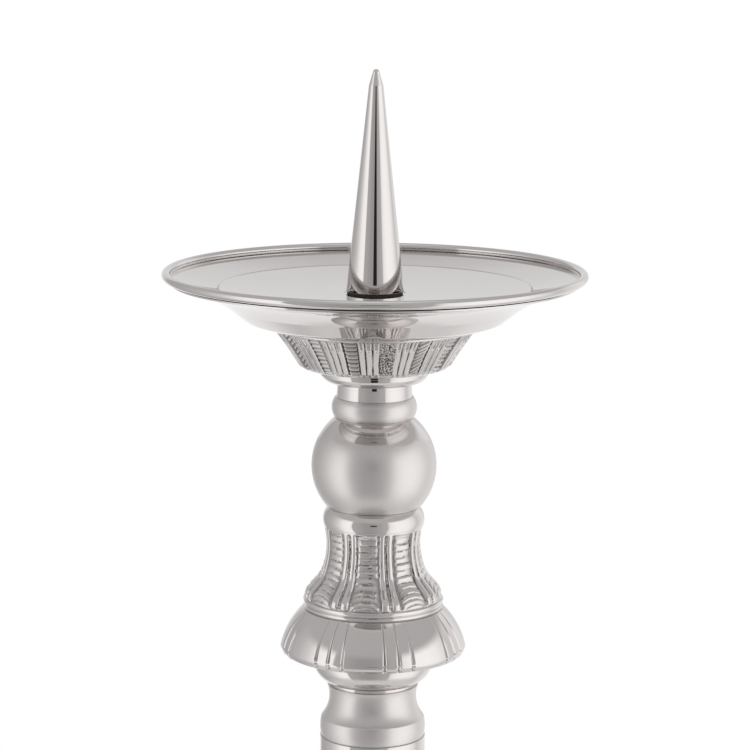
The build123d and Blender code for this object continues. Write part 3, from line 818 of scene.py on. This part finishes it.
# pairs of ribs with a punched groove between them, and ladder panels between the pairs
def vaseTree():
    given = newTree("ladderSide", vaseSizes)
    spin = Spin(given)
    along = spin.attribute("along")
    fold = 360 / given.also("Folds")
    turn = spin.angle - given.also("Middle")
    pair = (turn / fold).math("ROUND")
    across = turn - pair * fold + wander(along * vaseHand["pace"], pair) * vaseHand["wander"]
    away = abs(across)
    pairHalf = given.also("Pair half")
    pairGroove = given.also("Pair groove") / 2
    depth = given.also("Depth")
    ribPlace = (away - pairGroove) / (pairHalf - pairGroove)
    ribLift = depth * (swells(ribPlace.math("MINIMUM", 0.999).math("MAXIMUM", 0.001), 3.6, 0.6) - 1)
    dots = punched(turn * vaseHand["dots"][0], along * vaseHand["dots"][1])
    grooveLift = dots * vaseHand["dotHeight"] - depth
    edge = pairHalf + given.also("Edge groove")
    teeth = swells(along * vaseHand["teeth"], 2.0, 1.0) * vaseHand["toothHeight"]
    teeth = teeth - depth * vaseHand["edgeDepth"]
    panel = (turn / fold).math("FLOOR")
    panelHalf = fold / 2 - edge
    way = (turn % fold - fold / 2) / panelHalf
    low = 1 - along.smooth(0.0, vaseHand["archTo"])
    step = along * given.also("Rungs") + given.also("Arch") * (way * way) * low
    step = step + wander(way * vaseHand["rungPace"], panel * 7) * vaseHand["rungWander"]
    whole = step.math("FLOOR")
    tilt = (chance(panel, whole) - 0.5) * way * vaseHand["tilt"] - way * way * vaseHand["crown"]
    size = vaseHand["least"] + chance(whole, panel) * vaseHand["uneven"]
    rung = swells(step, 3.6, 0.6) * (1 - abs(way) ** 9) * size
    nod = (chance(whole + 40, panel) - 0.5) * (step % 1.0 - 0.5) * vaseHand["nod"]
    panelLift = (rung - 1) * given.also("Rung height") + (tilt + nod) * rung - vaseHand["below"]
    lift = grooveLift.blend(ribLift, away > pairGroove)
    lift = lift.blend(teeth, away > pairHalf)
    lift = lift.blend(panelLift, away > edge)
    line = along.smooth(0.0, 0.012) * along.smooth(0.018, 0.03, 1.0, 0.0)
    lift = lift * along.smooth(0.018, 0.035) * along.smooth(0.965, 0.99, 1.0, 0.0)
    lift = lift - line * depth * vaseHand["lineDepth"]
    return chase(spin, along, lift, depth)


gouged = gougeTree()

dome = {"foot": 57.0, "neck": 15.5, "height": 52.0, "wall": 2.0, "seat": 2.5, "edge": 0.3, "step": 1.0}


# two equal arcs, upright at the foot and at the neck
def ogeeArcs(foot, top):
    middle = ((foot[0] + top[0]) / 2, (foot[1] + top[1]) / 2)
    across, rise = foot[0] - middle[0], middle[1] - foot[1]
    turn = 2 * math.atan2(across, rise)
    bow = (across + rise * rise / across) / 2 * (1 - math.cos(turn / 2))
    return middle, bow


domeFoot, domeNeck = (dome["foot"], 0), (dome["neck"], dome["height"])
domeFootIn = (dome["foot"] - dome["wall"], 0)
domeNeckIn = (dome["neck"] - dome["wall"], dome["height"] - dome["seat"])
domeMiddle, domeBow = ogeeArcs(domeFoot, domeNeck)
domeMiddleIn, domeBowIn = ogeeArcs(domeFootIn, domeNeckIn)
domeSide = bowPoints(domeFoot, domeMiddle, domeBow, dome["step"])
domeSection = roundCorners(drawSection(
    domeFootIn, domeFoot, domeSide, (*domeNeck, -domeBow, dome["step"]), (rodHole, dome["height"]),
    (rodHole, domeNeckIn[1]), domeNeckIn, (*domeMiddleIn, domeBowIn, dome["step"]),
    (*domeFootIn, -domeBowIn, dome["step"]),
), dome["edge"])
domeChasing = {"Folds": 8.0, "Middle": 16.0, "Pitch": 9.0, "Foot half": 1.5, "Top half": 0.7,
               "Foot depth": 0.9, "Top depth": 0.0, "Foot fade": 0.05}
turnPiece("gougedDome", "foot_dome", "stand", domeSection, gouged, chasedSilver, 480,
          domeChasing, domeSide)

bell = {"foot": 26.6, "radius": 27.7, "lip": 2.2, "lipBow": 0.25, "top": 21.0, "height": 13.6,
        "bow": 0.95, "wall": 1.5, "crown": 2.0, "edge": 0.25, "step": 1.2, "lipStep": 0.25}
bellLip, bellTop = (bell["radius"], bell["lip"]), (bell["top"], bell["height"])
bellFootIn = (bell["foot"] - bell["wall"], 0)
bellLipIn = (bell["radius"] - bell["wall"], bell["lip"])
bellTopIn = (bell["top"] - bell["wall"], bell["height"] - bell["crown"])
bellSide = bowPoints((bell["foot"], 0), bellLip, bell["lipBow"], bell["lipStep"])
bellSide += bowPoints(bellLip, bellTop, bell["bow"])
bellSection = roundCorners(drawSection(
    bellFootIn, (bell["foot"], 0), bellSide, (rodHole, bell["height"]), (rodHole, bellTopIn[1]),
    bellTopIn, (*bellLipIn, -bell["bow"], bell["step"]), (*bellFootIn, -bell["lipBow"]),
), bell["edge"])
bellChasing = {"Folds": 8.0, "Middle": 16.5, "Pitch": 9.0, "Foot half": 1.45, "Top half": 0.6,
               "Foot depth": 0.65, "Top depth": 0.25, "Foot fade": -0.5}
turnPiece("gougedBell", "bell_skirt", "stand", bellSection, gouged, chasedSilver, 768,
          bellChasing, bellSide)

vase = {"foot": 20.4, "lowBead": (20.8, 1.2), "bandLine": (20.5, 1.35), "band": (20.9, 2.6),
        "bandBow": 0.12, "side": [(20.3, 5.2), (18.4, 7.7), (16.1, 10.6), (14.9, 14.0), (14.15, 19.2)],
        "ring": (14.75, 25.0), "ringBow": 1.0, "top": (13.3, 30.9), "step": 0.28}
vaseSide = curvePoints([vase["band"], *vase["side"], vase["ring"]], vase["step"])
vaseSection = roundCorners(drawSection(
    (rodHole, 0), (vase["foot"], 0), (*vase["lowBead"], vase["bandBow"]), vase["bandLine"],
    (*vase["band"], vase["bandBow"]), vaseSide, (*vase["top"], vase["ringBow"]),
    (rodHole, vase["top"][1]), [(rodHole, 0)],
))
vaseChasing = {"Folds": 8.0, "Middle": 15.2, "Pair half": 8.3, "Pair groove": 2.2, "Edge groove": 1.3,
               "Rungs": 13.0, "Rung height": 0.6, "Depth": 0.8, "Arch": 1.0}
turnPiece("chasedVase", "chased_vase", "stand", vaseSection, vaseTree(), chasedSilver,
          616, vaseChasing, vaseSide)

cup = {"bottom": 19.3, "heel": (22.9, 1.5), "heelBow": 0.38, "top": (30.4, 12.4), "hollow": 0.2,
       "boss": 8.0, "wall": 2.8, "floor": 2.5, "step": 0.2}
cupHeel = bowPoints((cup["bottom"], 0), cup["heel"], cup["heelBow"], cup["step"])
cupSide = cupHeel + bowPoints(cup["heel"], cup["top"], -cup["hollow"], cup["step"])
cupOutside = roundCorners(drawSection(
    (rodHole, 0), [(cup["bottom"], 0)], cupSide, [(cup["top"][0] - cup["wall"], cup["top"][1])],
), closed=False)
cupSection = cupOutside + [
    (cup["heel"][0] - cup["wall"], cup["floor"]), (cup["boss"], cup["floor"]),
    (cup["boss"], cup["top"][1]), (rodHole, cup["top"][1]), (rodHole, 0),
]
cupChasing = {"Groups": 16.0, "Middle": -3.4, "Panel angle": 9.0, "Reeds": 3.0, "Reed depth": 0.9,
              "Panel depth": 1.0, "Rungs": 11.0, "Rung height": 0.8, "Slit": 0.5, "Heel": 0.23}
turnPiece("reededCup", "reeded_cup", "stand", cupSection, cupTree(), chasedSilver,
          1024, cupChasing, cupSide)

# Tie rod with a thread at each end

rod = {"radius": 4.0, "lowThread": 15.0, "highThread": 36.0, "pitch": 1.25, "depth": 0.55, "step": 0.16}


def threadTree():
    given = newTree("threadedRod", ("Pitch", "Depth"))
    spin = Spin(given)
    along = spin.attribute("along")
    point = spin.sample(given.node("GeometryNodeInputPosition"))
    height = given.node("ShaderNodeSeparateXYZ", inputs={0: point}, output="Z") / mm
    turns = height / given.also("Pitch") - spin.angle / 360
    lift = abs(turns % 1.0 - 0.5) * -2 * given.also("Depth")
    return chase(spin, along, lift, given.also("Depth"))


rodLow, rodHigh = (corner.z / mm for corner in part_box("tie_rod"))
rodLength = rodHigh - rodLow
rodFoot, rodTop = (rod["radius"], 0), (rod["radius"], rodLength)
lowThread = evenPoints([rodFoot, (rod["radius"], rod["lowThread"])], rod["step"])
highStart = (rod["radius"], rodLength - rod["highThread"])
highThread = evenPoints([highStart, rodTop], rod["step"])
rodOutline = drawSection((0, 0), [rodFoot], lowThread, highStart, highThread, (0, rodLength))
rodSection = roundCorners(rodOutline, closed=False)
turnPiece("threadedRod", "tie_rod", "stand", rodSection, threadTree(), plainSteel, 48,
          {"Pitch": rod["pitch"], "Depth": rod["depth"]}, lowThread + highThread)
print("chased pieces made")

# CAD pieces that show as they are

for name in ("clamp_plate", "rod_washer", "rod_nut", "pan_spacer"):
    nodes[name].data.materials.clear()
    nodes[name].data.materials.append(plainSteel)

# Stage: white studio, pale floor, soft boxes on both sides and a dark camera

studio = {
    # light by degrees round from the front
    "band": [
        (-180, 1.0), (-165, 0.75), (-150, 0.50), (-125, 0.56), (-106, 0.67), (-90, 0.88), (-75, 1.22),
        (-60, 1.33), (-51, 1.25), (-49, 0.56), (-35, 0.52), (-22, 0.45), (-12, 0.43), (0, 0.44),
        (13, 0.50), (26, 0.58), (31, 0.56), (36, 1.05), (41, 1.2), (55, 1.33), (72, 1.33), (88, 1.26),
        (105, 1.02), (114, 0.80), (127, 0.92), (140, 1.0), (180, 1.0),
    ],
    # light behind the stand by degrees above the horizon
    "backdrop": [
        (-90, 0.60), (-62, 0.64), (-48, 0.98), (-14, 0.98), (-5, 0.79), (20, 0.79), (28, 0.69),
        (38, 0.56), (66, 0.52), (82, 0.9),
    ],
    "backdropEdge": (145.0, 162.0),
    "bandTop": (20.0, 32.0),
    "upper": 0.58,
    "lower": 0.78,
    "lowerSpan": (-52.0, -34.0),
    "overhead": 0.9,
    "overheadSpan": (62.0, 82.0),
    "cameraWidth": 7.0,
    "cameraLow": 3.0,
    "cameraHigh": 9.5,
    "cameraDark": 0.95,
    "fill": 0.8,
}
rampScale = 1.4


def buildWorld():
    world = bpy.data.worlds.new("whiteStudio")
    world.use_nodes = True
    scene.world = world
    start = Wire(world.node_tree)
    ray = start.node("ShaderNodeTexCoord", output="Generated")
    parts = start.node("ShaderNodeSeparateXYZ", inputs={0: ray}, output="X")
    azimuth = parts.math("ARCTAN2", parts.also("Y") * -1) * (180 / math.pi)
    height = parts.also("Z").math("ARCSINE") * (180 / math.pi)
    stops = [(turn / 360 + 0.5, (light / rampScale,) * 3) for turn, light in studio["band"]]
    band = start.node("ShaderNodeValToRGB", {"stops": stops}, {"Fac": azimuth / 360 + 0.5}) * rampScale
    above = height.smooth(*studio["overheadSpan"], studio["upper"], studio["overhead"])
    soft = band.blend(above, height.smooth(*studio["bandTop"]))
    stops = [(tilt / 180 + 0.5, (light,) * 3) for tilt, light in studio["backdrop"]]
    backdrop = start.node("ShaderNodeValToRGB", {"stops": stops}, {"Fac": height / 180 + 0.5})
    soft = soft * height.smooth(*studio["lowerSpan"], studio["lower"], 1.0)
    soft = soft.blend(backdrop, abs(azimuth).smooth(*studio["backdropEdge"]))
    width = studio["cameraWidth"]
    lens = abs(azimuth).smooth(width, width + 1.0, 1.0, 0.0)
    lens = lens * height.smooth(studio["cameraLow"] - 1, studio["cameraLow"])
    lens = lens * height.smooth(studio["cameraHigh"], studio["cameraHigh"] + 1, 1.0, 0.0)
    mirrored = soft * (1 - studio["cameraDark"] * lens)
    path = start.node("ShaderNodeLightPath", output="Is Camera Ray")
    shiny = path.also("Is Glossy Ray").math("MAXIMUM", path.also("Is Transmission Ray"))
    level = path + (1 - path) * (studio["fill"] + (mirrored - studio["fill"]) * shiny)
    background = world.node_tree.nodes["Background"]
    world.node_tree.links.new(level.socket, background.inputs["Color"])


buildWorld()

floorLook = {"radius": 0.32, "paint": (0.93, 0.93, 0.93), "fadeFrom": 0.14, "fadeTo": 0.31,
             "drop": 0.0003}


def buildFloor():
    bpy.ops.mesh.primitive_circle_add(vertices=96, radius=floorLook["radius"], fill_type="NGON")
    floor = bpy.context.object
    floor.name = "paleFloor"
    floor.location.z = -floorLook["drop"]
    material = bpy.data.materials.new("paleFloor")
    material.use_nodes = True
    start = Wire(material.node_tree)
    place = start.node("ShaderNodeTexCoord", output="Object")
    away = start.node("ShaderNodeVectorMath", {"operation": "LENGTH"}, {0: place}, "Value")
    paint = start.node("ShaderNodeBsdfDiffuse", {}, {"Color": (*floorLook["paint"], 1.0)})
    clear = start.node("ShaderNodeBsdfTransparent")
    factor = away.smooth(floorLook["fadeFrom"], floorLook["fadeTo"])
    mixed = start.node("ShaderNodeMixShader", {}, {0: factor, 1: paint, 2: clear})
    end = material.node_tree.nodes["Material Output"]
    material.node_tree.links.new(mixed.socket, end.inputs["Surface"])
    floor.data.materials.append(material)


buildFloor()

lampLook = {"size": 1.2, "place": (0.35, -0.2, 1.6), "target": (0, 0, 0.2), "energy": 4.0}


def buildLamp():
    data = bpy.data.lights.new("topBox", "AREA")
    data.shape = "DISK"
    data.size = lampLook["size"]
    data.energy = lampLook["energy"]
    lamp = bpy.data.objects.new("topBox", data)
    lamp.location = lampLook["place"]
    lamp.rotation_euler = (Vector(lampLook["target"]) - lamp.location).to_track_quat("-Z", "Y").to_euler()
    lamp.visible_glossy = False
    scene.collection.objects.link(lamp)


buildLamp()

cameraLook = {"place": (0.00015, -0.874548, 0.46383), "down": 0.1741, "roll": 0.33, "focal": 3008.29,
              "width": 750}


def buildCamera():
    data = bpy.data.cameras.new("photoCamera")
    data.sensor_width = 36.0
    data.lens = cameraLook["focal"] / cameraLook["width"] * data.sensor_width
    data.clip_start = 0.01
    camera = bpy.data.objects.new("photoCamera", data)
    tilt = Matrix.Rotation(math.pi / 2 - cameraLook["down"], 4, "X")
    roll = Matrix.Rotation(math.radians(cameraLook["roll"]), 4, "Z")
    camera.matrix_world = Matrix.Translation(cameraLook["place"]) @ tilt @ roll
    scene.collection.objects.link(camera)
    scene.camera = camera


buildCamera()
scene.view_settings.view_transform = "Standard"
print("stage, light and camera set")
